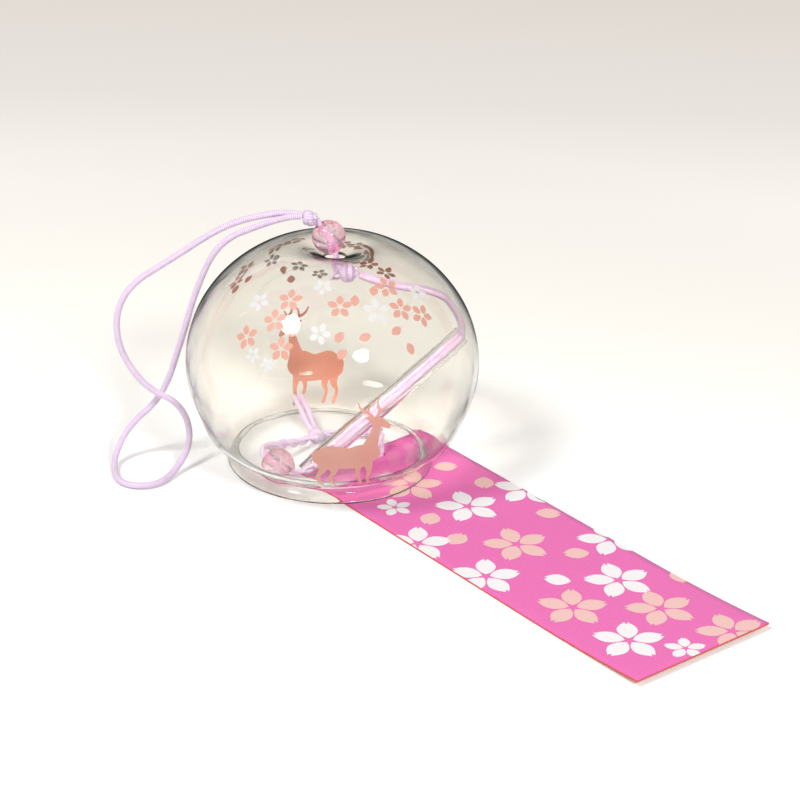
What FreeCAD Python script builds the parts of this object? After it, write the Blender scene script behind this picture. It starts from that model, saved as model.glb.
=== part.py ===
import FreeCAD, Part
import math
import os

# A glass wind bell standing mouth down on the inner end of its paper strip.
# Millimetres. Z is up from the table, the globe's axis is Z, and the strip runs along X.

os.makedirs("parts", exist_ok=True)

Vec = FreeCAD.Vector
UP = Vec(0, 0, 1)
ORIGIN = Vec(0, 0, 0)

# Paper strip, lying flat on the table
strip_length = 133.0
strip_width = 45.0
strip_thickness = 0.45
strip_inner_end = 2.0
strip_side_shift = 9.3
strip_corner_radius = 0.4
strip_hole_inset = 4.4
strip_hole_side = 3.3
strip_hole_clearance = 0.1

# Blown glass globe, with heights measured from the outer edge of its lip
wall = 1.0
body_radius = 40.0
body_half_height = 35.9
body_centre_height = 28.7
neck_radius = 26.2
neck_height = 2.0
lip_radius = 28.2
crest_radius = 10.0
crest_height = 62.0
dish_height = 59.3
crown_hole_radius = 2.8
rest_gap = 0.05
# Turns up the body from its widest ring, in degrees, between the neck and the crown
body_turns = (-40.0, -24.0, -8.0, 8.0, 24.0, 40.0, 54.0)

# Cord: one strand, and the two strands drawn together where they pass through something
cord_diameter = 1.8
pair_diameter = 2.4
strand_spacing = 2.0
meeting_gap = 0.05
arc_share = 0.45

# Top bead, and the knots above and below the crown
bead_diameter = 9.0
bore_clearance = 0.1
loop_heading = 230.25
bead_shift = 1.8
bead_dish_gap = 0.75
bead_bore_tilt = 37.0
bead_run_in = 0.7
bead_run_out = 1.0
cord_seat = 0.6
top_knot_length = 4.2
top_knot_radius = 1.8
top_knot_tilt = 72.0
loop_start_gap = 1.2
stopper_length = 6.4
stopper_radius = 3.2
stopper_shift = 3.1
stopper_tilt = 100.0
stopper_gap = 0.3
stopper_strand_gap = 0.3

# Clapper tube, leaning inside the globe
tube_diameter = 5.5
tube_bore = 4.3
tube_length = 57.0
tube_end_round = 0.2
tube_foot_distance = 15.3
tube_foot_angle = -64.1
tube_heading = 75.7
tube_foot_gap = 0.1
tube_wall_gap = 1.1
cord_reach_top = 2.0
cord_reach_foot = 3.2
fold_run = 1.0

# Lower bead on the table beside the tube's foot
lower_bead_distance = 7.7
lower_bead_direction = 230.25
lower_bore_heading = 200.9
lower_bore_tilt = 66.4
link_corner_depth = 0.6
lower_run_in = 1.2
lower_run_out = 1.6

# Knot that ties the strip's cord, with its two cut tails
tie_knot_length = 4.4
tie_knot_radius = 2.1
tie_knot_distance = 10.6
tie_knot_angle = 165.7
tie_knot_heading = 112.0
strip_cord_shift = 1.0
tail_distance = 1.9
tail_heading = 168.0
knot_waist_share = 0.85


def flat(distance, degrees):
    angle = math.radians(degrees)
    return Vec(distance * math.cos(angle), distance * math.sin(angle), 0)


def direction(degrees, tilt):
    slope = math.radians(tilt)
    return flat(math.sin(slope), degrees) + UP * math.cos(slope)


def export(shape, node):
    shape.exportStep("parts/" + node + ".step")
    print(node, "solids", len(shape.Solids), "volume", round(shape.Volume, 2), "valid", shape.isValid())


# Sizes that follow from the ones above
bead_radius = bead_diameter / 2
pair_radius = pair_diameter / 2
bead_bore_radius = pair_radius + bore_clearance
tube_radius = tube_diameter / 2
strand_offset = strand_spacing / 2


# The globe's section, in the XZ plane

def body_point(turn):
    angle = math.radians(turn)
    height = body_centre_height + body_half_height * math.sin(angle)
    return Vec(body_radius * math.cos(angle), 0, height)


def outer_section():
    # Up from the flared lip, in at the neck, over the body and down into the dished crown
    lip_edge = Vec(lip_radius, 0, 0)
    neck = Vec(neck_radius, 0, neck_height)
    crest = Vec(crest_radius, 0, crest_height)
    hole_edge = Vec(crown_hole_radius, 0, dish_height)
    curve = Part.BSplineCurve()
    curve.interpolate([lip_edge, neck] + [body_point(turn) for turn in body_turns] + [crest, hole_edge])
    return curve


def inner_section(outer):
    # The inner face keeps one wall's thickness from the outer face all the way
    steps = 36
    first, last = outer.FirstParameter, outer.LastParameter
    points = []
    for step in range(steps + 1):
        at = first + (last - first) * step / steps
        along = outer.tangent(at)[0]
        inward = Vec(-along.z, 0, along.x)
        points.append(outer.value(at) + inward * wall)
    curve = Part.BSplineCurve()
    curve.interpolate(points)
    return curve


outer_curve = outer_section()
inner_curve = inner_section(outer_curve)
lip_outside = outer_curve.value(outer_curve.FirstParameter)
lip_inside = inner_curve.value(inner_curve.FirstParameter)
lip_middle = (lip_outside + lip_inside) / 2

# The section is lifted until the rounded lip stands its gap above the strip
globe_lift = strip_thickness + rest_gap + wall / 2 - lip_middle.z
dish_top = globe_lift + dish_height
crown_underside = dish_top - wall


def inner_radius(height):
    # The inner face's radius at a height above the table, on the body
    samples = 400
    first, last = inner_curve.FirstParameter, inner_curve.LastParameter
    points = [inner_curve.value(first + (last - first) * step / samples) for step in range(samples)]
    body = [point for point in points if point.x > crest_radius and point.z > neck_height]
    return min(body, key=lambda point: abs(point.z + globe_lift - height)).x


def make_globe():
    hole_outside = outer_curve.value(outer_curve.LastParameter)
    hole_inside = inner_curve.value(inner_curve.LastParameter)
    lip_bottom = lip_middle - outer_curve.tangent(outer_curve.FirstParameter)[0] * (wall / 2)
    lip_round = Part.Arc(lip_inside, lip_bottom, lip_outside).toShape()
    hole_wall = Part.LineSegment(hole_outside, hole_inside).toShape()
    section = Part.Wire([outer_curve.toShape(), hole_wall, inner_curve.toShape(), lip_round])
    globe = Part.Face(section).revolve(ORIGIN, UP, 360)
    globe.translate(UP * globe_lift)
    return globe


# Cords, beads and knots

def cord_path(points, name):
    # Straight runs joined by tangent arcs, each as large as its two runs allow
    edges = []
    radii = []
    start = points[0]
    for before, corner, after in zip(points, points[1:], points[2:]):
        way_in = Vec(corner - before).normalize()
        way_out = Vec(after - corner).normalize()
        half_turn = way_in.getAngle(way_out) / 2
        setback = arc_share * min((corner - before).Length, (after - corner).Length)
        radius = setback / math.tan(half_turn)
        to_middle = radius / math.cos(half_turn) - radius
        enter = corner - way_in * setback
        leave = corner + way_out * setback
        middle = corner + Vec(way_out - way_in).normalize() * to_middle
        edges.append(Part.LineSegment(start, enter).toShape())
        edges.append(Part.Arc(enter, middle, leave).toShape())
        radii.append(round(radius, 1))
        start = leave
    edges.append(Part.LineSegment(start, points[-1]).toShape())
    path = Part.Wire(edges)
    print(name, "arc radii", radii, "length", round(path.Length, 1))
    return path


def make_cord(points, diameter, name):
    path = cord_path(points, name)
    ring = Part.Wire(Part.Circle(points[0], points[1] - points[0], diameter / 2).toShape())
    tube = path.makePipeShell([ring], True, False)
    section = math.pi * (diameter / 2) ** 2
    print(name, "volume against section times length", round(tube.Volume / (section * path.Length), 4))
    return tube


def make_bead(centre, bore_way):
    ball = Part.makeSphere(bead_radius, centre)
    bore = Part.makeCylinder(bead_bore_radius, bead_diameter * 2, centre - bore_way * bead_diameter, bore_way)
    return ball.cut(bore)


def make_knot(centre, way, length, radius):
    # Three turns of cord pulled tight: a barrel of three rounded lobes
    lobes = 3
    waist = radius * knot_waist_share
    low = -length / 2
    edges = [Part.LineSegment(Vec(0, 0, low), Vec(waist, 0, low)).toShape()]
    for index in range(lobes):
        bottom = low + length * index / lobes
        top = low + length * (index + 1) / lobes
        bulge = Vec(radius, 0, (bottom + top) / 2)
        edges.append(Part.Arc(Vec(waist, 0, bottom), bulge, Vec(waist, 0, top)).toShape())
    edges.append(Part.LineSegment(Vec(waist, 0, -low), Vec(0, 0, -low)).toShape())
    edges.append(Part.LineSegment(Vec(0, 0, -low), Vec(0, 0, low)).toShape())
    barrel = Part.Face(Part.Wire(edges)).revolve(ORIGIN, UP, 360)
    barrel.Placement = FreeCAD.Placement(centre, FreeCAD.Rotation(UP, way))
    return barrel


# Places on the crown: the bead leans in the dish, with a knot beyond it and one below the hole
loop_way = flat(1, loop_heading)
loop_side = flat(1, loop_heading + 90)
bead_bore_way = direction(loop_heading, bead_bore_tilt)
bead_centre = loop_way * bead_shift + UP * (dish_top + bead_dish_gap + bead_radius)
bead_exit = bead_centre + bead_bore_way * bead_radius
bead_entry = bead_centre - bead_bore_way * bead_radius
top_knot_way = direction(loop_heading, top_knot_tilt)
top_knot_start = bead_exit + bead_bore_way * bead_run_out
top_knot_centre = top_knot_start + top_knot_way * (top_knot_length / 2)
loop_start = top_knot_start + top_knot_way * (top_knot_length + loop_start_gap)
stopper_way = direction(loop_heading + 180, stopper_tilt)
stopper_centre = UP * (crown_underside - stopper_gap - stopper_radius) - loop_way * stopper_shift
stopper_end = stopper_centre + stopper_way * (stopper_length / 2 + stopper_strand_gap)
crown_corner = bead_entry - bead_bore_way * bead_run_in
crown_foot = Vec(crown_corner.x, crown_corner.y, stopper_centre.z + stopper_radius - cord_seat)


def tube_way_at(lean):
    return direction(tube_heading, 90 - lean)


def tube_foot_at(lean):
    height = strip_thickness + tube_foot_gap + tube_radius * math.cos(math.radians(lean))
    return flat(tube_foot_distance, tube_foot_angle) + UP * height


def find_lean():
    # The lean at which the tube's upper rim comes to its gap from the globe's inner face
    low, high = 10.0, 75.0
    halvings = 30
    for step in range(halvings):
        lean = (low + high) / 2
        top = tube_foot_at(lean) + tube_way_at(lean) * tube_length
        rim = math.hypot(top.x, top.y) + tube_radius * math.sin(math.radians(lean))
        if inner_radius(top.z) - rim > tube_wall_gap:
            high = lean
        else:
            low = lean
    return high


# Places along the leaning tube and beside its foot
tube_lean = find_lean()
tube_way = tube_way_at(tube_lean)
tube_side = flat(1, tube_heading + 90)
tube_foot = tube_foot_at(tube_lean)
tube_top = tube_foot + tube_way * tube_length
link_corner = tube_foot + tube_way * link_corner_depth
lower_bead_flat = link_corner + flat(lower_bead_distance, lower_bead_direction)
lower_bead_centre = Vec(lower_bead_flat.x, lower_bead_flat.y, bead_radius)
lower_bore_way = direction(lower_bore_heading, lower_bore_tilt)
lower_bead_entry = lower_bead_centre - lower_bore_way * bead_radius
lower_bead_exit = lower_bead_centre + lower_bore_way * bead_radius
tie_way = flat(1, tie_knot_heading)
tie_centre = flat(tie_knot_distance, tie_knot_angle) + UP * tie_knot_radius
tie_near = tie_centre - tie_way * (tie_knot_length / 2 + meeting_gap)
strip_cord_start = tie_centre + tie_way * (tie_knot_length / 2 - cord_seat)
strip_cord_start += flat(strip_cord_shift, tie_knot_heading - 90)
tail_start = tie_centre + flat(tail_distance, tail_heading)
tail_side = flat(strand_offset, tail_heading + 90)
strip_hole = Vec(strip_inner_end + strip_hole_inset, strip_side_shift + strip_hole_side, 0)

# Route of the hanging loop: out over the globe's shoulder, down to the table,
# round on it, and back up under itself
loop_route = [
    Vec(-13, -11.5, 71.2),
    Vec(-19.5, -22.5, 68),
    Vec(-26, -34.5, 59),
    Vec(-32.5, -46.5, 50.5),
    Vec(-32.5, -49.5, 37),
    Vec(-27.5, -44, 23.5),
    Vec(-21, -35.5, 18.5),
    Vec(-20.3, -32.3, 7.5),
    Vec(-17, -39.5, 1),
    Vec(-12, -50, 1),
    Vec(-19, -57.5, 1),
    Vec(-32, -51, 1),
    Vec(-34, -44.5, 9),
    Vec(-28.5, -36.5, 18),
    Vec(-26, -32, 34.5),
    Vec(-24, -28.5, 49.5),
    Vec(-20, -24, 63.5),
    Vec(-12.5, -14, 69),
]

# Route of the two strands from the knot under the crown to the tube's upper end
inner_route = [
    Vec(17, 29, 44.2),
    Vec(14.8, 24.5, 49.6),
    Vec(10.5, 14, 52.2),
    Vec(6.5, 7.8, 54.2),
]

# Route of the cord from the lower bead to the tie knot
bead_cord_route = [
    Vec(-6.5, -17.5, 6.2),
    Vec(-7.5, -11, 4.2),
    Vec(-8.5, -4, 2.4),
]

# Route of the cord from the tie knot over to the strip's hole
strip_cord_route = [
    Vec(-8.8, 9.5, 1.4),
    Vec(-4.8, 15.2, 1.6),
    Vec(1.2, 17.2, 5.2),
    Vec(6.4, 12.6, 5.8),
]

# Routes of the two tails, side by side, up from the tie knot
tail_routes = {
    "tie_tail_left": [Vec(-16, 3.6, 3.2), Vec(-20.3, 4.8, 5.6), Vec(-24.6, 5.2, 8.6)],
    "tie_tail_right": [Vec(-15.4, 6.6, 3.2), Vec(-18.8, 9.2, 5.4), Vec(-22, 12.4, 8.4)],
}


def make_clapper_tube():
    outside = Part.makeCylinder(tube_radius, tube_length, tube_foot, tube_way)
    inside = Part.makeCylinder(tube_bore / 2, tube_length, tube_foot, tube_way)
    tube = outside.cut(inside)
    rims = [edge for edge in tube.Edges if edge.Curve.TypeId == "Part::GeomCircle"]
    return tube.makeFillet(tube_end_round, rims)


def make_tube_strand(side):
    offset = tube_side * (strand_offset * side)
    start = tube_foot + tube_way * (cord_reach_foot + meeting_gap) + offset
    length = tube_length - cord_reach_foot - cord_reach_top - meeting_gap * 2
    return Part.makeCylinder(cord_diameter / 2, length, start, tube_way)


def make_inner_strand(side, name):
    offset = tube_side * (strand_offset * side)
    start = tube_top - tube_way * cord_reach_top
    fold = tube_top + tube_way * fold_run
    points = [start + offset, fold + offset]
    points += [point + offset for point in inner_route]
    points.append(stopper_end - loop_side * (strand_offset * side))
    return make_cord(points, cord_diameter, name)


def make_hanging_loop():
    start = loop_start - loop_side * strand_offset
    end = loop_start + loop_side * strand_offset
    return make_cord([start] + loop_route + [end], cord_diameter, "hanging_loop")


def make_crown_cord():
    end = top_knot_start + bead_bore_way * cord_seat
    return make_cord([crown_foot, crown_corner, end], pair_diameter, "crown_cord")


def make_lower_link():
    start = tube_foot + tube_way * cord_reach_foot
    into_bead = lower_bead_entry - lower_bore_way * lower_run_in
    return make_cord([start, link_corner, into_bead, lower_bead_centre], pair_diameter, "lower_link")


def make_bead_cord():
    start = lower_bead_centre + lower_bore_way * meeting_gap
    out = lower_bead_exit + lower_bore_way * lower_run_out
    return make_cord([start, out] + bead_cord_route + [tie_near], pair_diameter, "bead_cord")


def make_strip_cord():
    return make_cord([strip_cord_start] + strip_cord_route + [strip_hole], pair_diameter, "strip_cord")


def make_tail(side, name):
    return make_cord([tail_start + tail_side * side] + tail_routes[name], cord_diameter, name)


def make_paper_strip():
    corner = Vec(strip_inner_end, strip_side_shift - strip_width / 2, 0)
    sheet = Part.makeBox(strip_length, strip_width, strip_thickness, corner)
    uprights = [edge for edge in sheet.Edges if abs(edge.tangentAt(edge.FirstParameter).z) > 0.5]
    sheet = sheet.makeFillet(strip_corner_radius, uprights)
    hole = Part.makeCylinder(pair_radius + strip_hole_clearance, strip_thickness, strip_hole)
    return sheet.cut(hole)


export(make_globe(), "glass_globe")
export(make_paper_strip(), "paper_strip")
export(make_bead(bead_centre, bead_bore_way), "top_bead")
export(make_bead(lower_bead_centre, lower_bore_way), "lower_bead")
export(make_clapper_tube(), "clapper_tube")
export(make_knot(top_knot_centre, top_knot_way, top_knot_length, top_knot_radius), "top_knot")
export(make_knot(stopper_centre, stopper_way, stopper_length, stopper_radius), "stopper_knot")
export(make_knot(tie_centre, tie_way, tie_knot_length, tie_knot_radius), "tie_knot")
export(make_hanging_loop(), "hanging_loop")
export(make_crown_cord(), "crown_cord")
export(make_inner_strand(1, "inner_cord_left"), "inner_cord_left")
export(make_inner_strand(-1, "inner_cord_right"), "inner_cord_right")
export(make_tube_strand(1), "tube_cord_left")
export(make_tube_strand(-1), "tube_cord_right")
export(make_lower_link(), "lower_link")
export(make_bead_cord(), "bead_cord")
export(make_strip_cord(), "strip_cord")
export(make_tail(1, "tie_tail_left"), "tie_tail_left")
export(make_tail(-1, "tie_tail_right"), "tie_tail_right")

print("tube lean", round(tube_lean, 2))
for name, place in (("tube foot", tube_foot), ("tube top", tube_top), ("top bead", bead_centre),
                    ("lower bead", lower_bead_centre), ("loop start", loop_start), ("strip hole", strip_hole)):
    print(name, [round(value, 2) for value in place])
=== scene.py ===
import bmesh
import bpy
import math
import random
from bisect import bisect_right
from mathutils import Matrix, Vector


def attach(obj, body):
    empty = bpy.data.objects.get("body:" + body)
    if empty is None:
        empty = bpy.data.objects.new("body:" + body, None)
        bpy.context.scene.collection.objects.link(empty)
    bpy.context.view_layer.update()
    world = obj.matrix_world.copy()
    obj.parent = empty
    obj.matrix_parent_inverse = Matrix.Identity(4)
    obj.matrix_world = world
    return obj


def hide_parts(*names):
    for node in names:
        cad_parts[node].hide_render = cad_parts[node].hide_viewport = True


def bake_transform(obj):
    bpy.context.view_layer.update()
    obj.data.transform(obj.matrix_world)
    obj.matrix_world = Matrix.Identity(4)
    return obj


# A blown glass wind bell on its paper strip. Every length here is in millimetres, and becomes metres in
# toFrame. The sizes and places are those of the solids that each piece stands for.

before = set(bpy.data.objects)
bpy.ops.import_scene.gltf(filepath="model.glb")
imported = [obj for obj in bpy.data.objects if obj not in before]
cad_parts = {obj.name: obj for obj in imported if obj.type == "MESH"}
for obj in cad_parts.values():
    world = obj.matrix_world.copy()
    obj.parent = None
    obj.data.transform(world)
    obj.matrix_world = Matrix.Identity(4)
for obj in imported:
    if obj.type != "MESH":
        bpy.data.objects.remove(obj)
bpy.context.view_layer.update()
random.seed(41)

millimetre = 0.001
upward = Vector((0, 0, 1))


# Shared helpers

def toFrame(point):
    return tuple(value * millimetre for value in point)


def colour(code):
    # sRGB hex to linear
    channels = [int(code[at:at + 2], 16) / 255 for at in (1, 3, 5)]
    linear = [value / 12.92 if value <= 0.04045 else ((value + 0.055) / 1.055) ** 2.4 for value in channels]
    return (*linear, 1.0)


def addNode(tree, kind, inputs=None, **settings):
    made = tree.nodes.new("ShaderNode" + kind)
    for name, value in settings.items():
        setattr(made, name, value)
    for name, value in (inputs or {}).items():
        if isinstance(value, bpy.types.NodeSocket):
            tree.links.new(value, made.inputs[name])
        else:
            made.inputs[name].default_value = value
    return made


def newMaterial(name):
    material = bpy.data.materials.new(name)
    material.use_nodes = True
    material.node_tree.nodes.clear()
    return material, material.node_tree


def finishMaterial(tree, shader):
    addNode(tree, "OutputMaterial", {"Surface": shader.outputs[0]})


def objectPlace(tree):
    # World millimetres, since every piece's object sits at the origin
    place = addNode(tree, "TexCoord")
    grown = addNode(tree, "VectorMath", {0: place.outputs["Object"], 1: (1 / millimetre,) * 3},
                    operation="MULTIPLY")
    return grown.outputs[0]


def addObject(name, data):
    made = bpy.data.objects.new(name, data)
    bpy.context.scene.collection.objects.link(made)
    return made


def addMesh(name, points, faces, materials, body, faceMaterials=None, uvs=None, solid=True):
    mesh = bpy.data.meshes.new(name)
    mesh.from_pydata([toFrame(point) for point in points], [], faces)
    for material in materials:
        mesh.materials.append(material)
    if faceMaterials:
        mesh.polygons.foreach_set("material_index", faceMaterials)
    if uvs:
        layer = mesh.uv_layers.new(name="along")
        layer.data.foreach_set("uv", [value for face in uvs for corner in face for value in corner])
    if solid:
        shape = bmesh.new()
        shape.from_mesh(mesh)
        bmesh.ops.recalc_face_normals(shape, faces=shape.faces)
        shape.to_mesh(mesh)
        shape.free()
    mesh.polygons.foreach_set("use_smooth", [True] * len(mesh.polygons))
    piece = addObject(name, mesh)
    if body:
        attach(piece, body)
    return piece


def standFor(node):
    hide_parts(node)


def aroundAxis(radius, angle, height):
    return Vector((radius * math.cos(angle), radius * math.sin(angle), height))


def stepAt(line, index):
    # From the point before to the point after
    return line[min(index + 1, len(line) - 1)] - line[max(index - 1, 0)]


def lathe(profile, segments, centre=Vector((0, 0, 0)), way=upward, ripple=None):
    # A closed profile of (radius, height), turned about the line through centre along way
    turn = upward.rotation_difference(way)
    points, faces = [], []
    count = len(profile)
    for step in range(segments):
        angle = math.tau * step / segments
        for index, (radius, height) in enumerate(profile):
            grown = radius + (ripple(index, angle, height) if ripple else 0)
            points.append(centre + turn @ aroundAxis(grown, angle, height))
    for step in range(segments):
        after = (step + 1) % segments
        for index in range(count):
            following = (index + 1) % count
            faces.append((step * count + index, after * count + index,
                          after * count + following, step * count + following))
    return points, faces


# Materials

def makeGlass(name, values):
    material, tree = newMaterial(name)
    place = objectPlace(tree)
    # Slow waves left by the making, which bend what is seen through the wall
    waves = addNode(tree, "TexNoise", {"Vector": place, "Scale": values["waveScale"],
                                      "Detail": values["waveDetail"]})
    bump = addNode(tree, "Bump", {"Height": waves.outputs["Fac"], "Strength": values["waveStrength"],
                                  "Distance": values["waveDepth"] * millimetre})
    # Painted shade: looked along, the upper wall is painted dark grey-green, the glass's own grey-green
    # together with a painted reflection of the dark room
    grazing = addNode(tree, "LayerWeight", {"Blend": values["rimBlend"]})
    rim = addNode(tree, "MapRange", {"Value": grazing.outputs["Facing"], "From Min": values["paintedRimFrom"],
                                     "From Max": values["paintedRimTo"]}, interpolation_type="SMOOTHSTEP")
    # Painted shade and reflection fall only on the wall that faces upward
    lie = addNode(tree, "NewGeometry")
    lift = addNode(tree, "SeparateXYZ", {0: lie.outputs["Normal"]})
    upper = addNode(tree, "MapRange", {"Value": lift.outputs["Z"], "From Min": values["paintedUpperFrom"],
                                       "From Max": values["paintedUpperTo"]})
    paintedRimShare = addNode(tree, "Math", {0: rim.outputs[0], 1: upper.outputs[0]}, operation="MULTIPLY")
    body = addNode(tree, "Mix", {"Factor": paintedRimShare.outputs[0], "A": colour(values["tint"]),
                                 "B": colour(values["paintedRimShade"])}, data_type="RGBA")
    glass = addNode(tree, "BsdfPrincipled", {
        "Base Color": body.outputs["Result"], "Roughness": values["roughness"], "IOR": values["ior"],
        "Transmission Weight": 1.0, "Normal": bump.outputs["Normal"]})
    # Painted shade: the last hair's breadth of the upper outline is painted near black, a dark sheet where
    # the wall is looked along
    outline = addNode(tree, "MapRange", {"Value": grazing.outputs["Facing"], "From Min": values["paintedLineFrom"],
                                         "From Max": values["paintedLineTo"]}, interpolation_type="SMOOTHSTEP")
    paintedLineShare = addNode(tree, "Math", {0: outline.outputs[0], 1: upper.outputs[0]}, operation="MULTIPLY")
    dark = addNode(tree, "BsdfDiffuse", {"Color": colour(values["paintedRimShade"])})
    wall = addNode(tree, "MixShader", {0: paintedLineShare.outputs[0], 1: glass.outputs[0], 2: dark.outputs[0]})
    # Light passes to what stands inside, and less of it where the wall is seen on edge
    facing = addNode(tree, "LayerWeight", {"Blend": values["edgeBlend"]})
    shade = addNode(tree, "Mix", {"Factor": facing.outputs["Facing"], "A": colour(values["clearShade"]),
                                  "B": colour(values["edgeShade"])}, data_type="RGBA")
    clear = addNode(tree, "BsdfTransparent", {"Color": shade.outputs["Result"]})
    path = addNode(tree, "LightPath")
    finishMaterial(tree, addNode(tree, "MixShader", {
        0: path.outputs["Is Shadow Ray"], 1: wall.outputs[0], 2: clear.outputs[0]}))
    return material


def makeInk(name, values):
    # Screen-printed ink: slightly uneven cover, with a deeper colour painted as shade where its back is seen
    material, tree = newMaterial(name)
    place = objectPlace(tree)
    cover = addNode(tree, "TexNoise", {"Vector": place, "Scale": values["coverScale"],
                                       "Detail": values["coverDetail"]})
    front = addNode(tree, "Mix", {"Factor": cover.outputs["Fac"], "A": colour(values["thin"]),
                                  "B": colour(values["thick"])}, data_type="RGBA")
    # Painted shade: back faces take a darker copy of the ink
    side = addNode(tree, "NewGeometry")
    seen = addNode(tree, "Mix", {"Factor": side.outputs["Backfacing"], "A": front.outputs["Result"],
                                 "B": colour(values["back"])}, data_type="RGBA")
    bump = addNode(tree, "Bump", {"Height": cover.outputs["Fac"], "Strength": values["coverStrength"],
                                  "Distance": values["coverDepth"] * millimetre})
    surface = addNode(tree, "BsdfPrincipled", {
        "Base Color": seen.outputs["Result"], "Roughness": values["roughness"],
        "Normal": bump.outputs["Normal"]})
    through = addNode(tree, "BsdfTranslucent", {"Color": seen.outputs["Result"]})
    finishMaterial(tree, addNode(tree, "MixShader", {
        0: values["translucent"], 1: surface.outputs[0], 2: through.outputs[0]}))
    return material


def makePaper(name, values):
    # Crepe paper: fine slanting ribs and a short soft nap, so its shine is broad and weak
    material, tree = newMaterial(name)
    place = objectPlace(tree)
    slanted = addNode(tree, "Mapping", {
        "Vector": place, "Rotation": (0, 0, math.radians(values["ribAngle"]))})
    ribs = addNode(tree, "TexWave", {
        "Vector": slanted.outputs[0], "Scale": values["ribScale"], "Distortion": values["ribDistortion"],
        "Detail": values["ribDetail"], "Detail Scale": values["ribDetailScale"]})
    fibres = addNode(tree, "TexNoise", {"Vector": place, "Scale": values["fibreScale"],
                                        "Detail": values["fibreDetail"]})
    base = addNode(tree, "Mix", {"Factor": fibres.outputs["Fac"], "A": colour(values["dark"]),
                                 "B": colour(values["light"])}, data_type="RGBA")
    # Painted shade: the rib hollows are painted darker and their crests lighter
    ribbed = addNode(tree, "Mix", {"Factor": values["ribPaintedShade"], "A": base.outputs["Result"],
                                   "B": ribs.outputs["Color"]}, data_type="RGBA", blend_type="SOFT_LIGHT")
    relief = addNode(tree, "Bump", {"Height": ribs.outputs["Fac"], "Strength": values["ribStrength"],
                                    "Distance": values["ribDepth"] * millimetre})
    nap = addNode(tree, "Bump", {
        "Height": fibres.outputs["Fac"], "Strength": values["napStrength"],
        "Distance": values["napDepth"] * millimetre, "Normal": relief.outputs["Normal"]})
    finishMaterial(tree, addNode(tree, "BsdfPrincipled", {
        "Base Color": ribbed.outputs["Result"], "Roughness": values["roughness"],
        "Sheen Weight": values["sheen"], "Sheen Roughness": values["sheenRoughness"],
        "Specular IOR Level": values["specular"], "Normal": nap.outputs["Normal"]}))
    return material


def makeCordMaterial(name, values):
    # Braided rayon: stripes cross the cord where the braid's strands pass over each other
    material, tree = newMaterial(name)
    along = addNode(tree, "TexCoord")
    parts = addNode(tree, "SeparateXYZ", {0: along.outputs["UV"]})
    slanted = addNode(tree, "Math", {0: parts.outputs["X"], 1: values["slant"], 2: parts.outputs["Y"]},
                      operation="MULTIPLY_ADD")
    cycle = addNode(tree, "Math", {0: slanted.outputs[0], 1: math.tau / values["pitch"]},
                    operation="MULTIPLY")
    wave = addNode(tree, "Math", {0: cycle.outputs[0]}, operation="SINE")
    stripe = addNode(tree, "MapRange", {"Value": wave.outputs[0], "From Min": values["stripeFrom"],
                                        "From Max": values["stripeTo"]})
    worn = addNode(tree, "TexNoise", {"Vector": objectPlace(tree), "Scale": values["wornScale"],
                                      "Detail": values["wornDetail"]})
    broken = addNode(tree, "Math", {0: stripe.outputs[0], 1: worn.outputs["Fac"]}, operation="MULTIPLY")
    tone = addNode(tree, "Mix", {"Factor": broken.outputs[0], "A": colour(values["light"]),
                                 "B": colour(values["stripe"])}, data_type="RGBA")
    bump = addNode(tree, "Bump", {"Height": wave.outputs[0], "Strength": values["ridgeStrength"],
                                  "Distance": values["ridgeDepth"] * millimetre})
    finishMaterial(tree, addNode(tree, "BsdfPrincipled", {
        "Base Color": tone.outputs["Result"], "Roughness": values["roughness"],
        "Sheen Weight": values["sheen"], "Sheen Roughness": values["sheenRoughness"],
        "Subsurface Weight": values["subsurface"], "Subsurface Scale": values["subsurfaceDepth"] * millimetre,
        "Normal": bump.outputs["Normal"]}))
    return material


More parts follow.
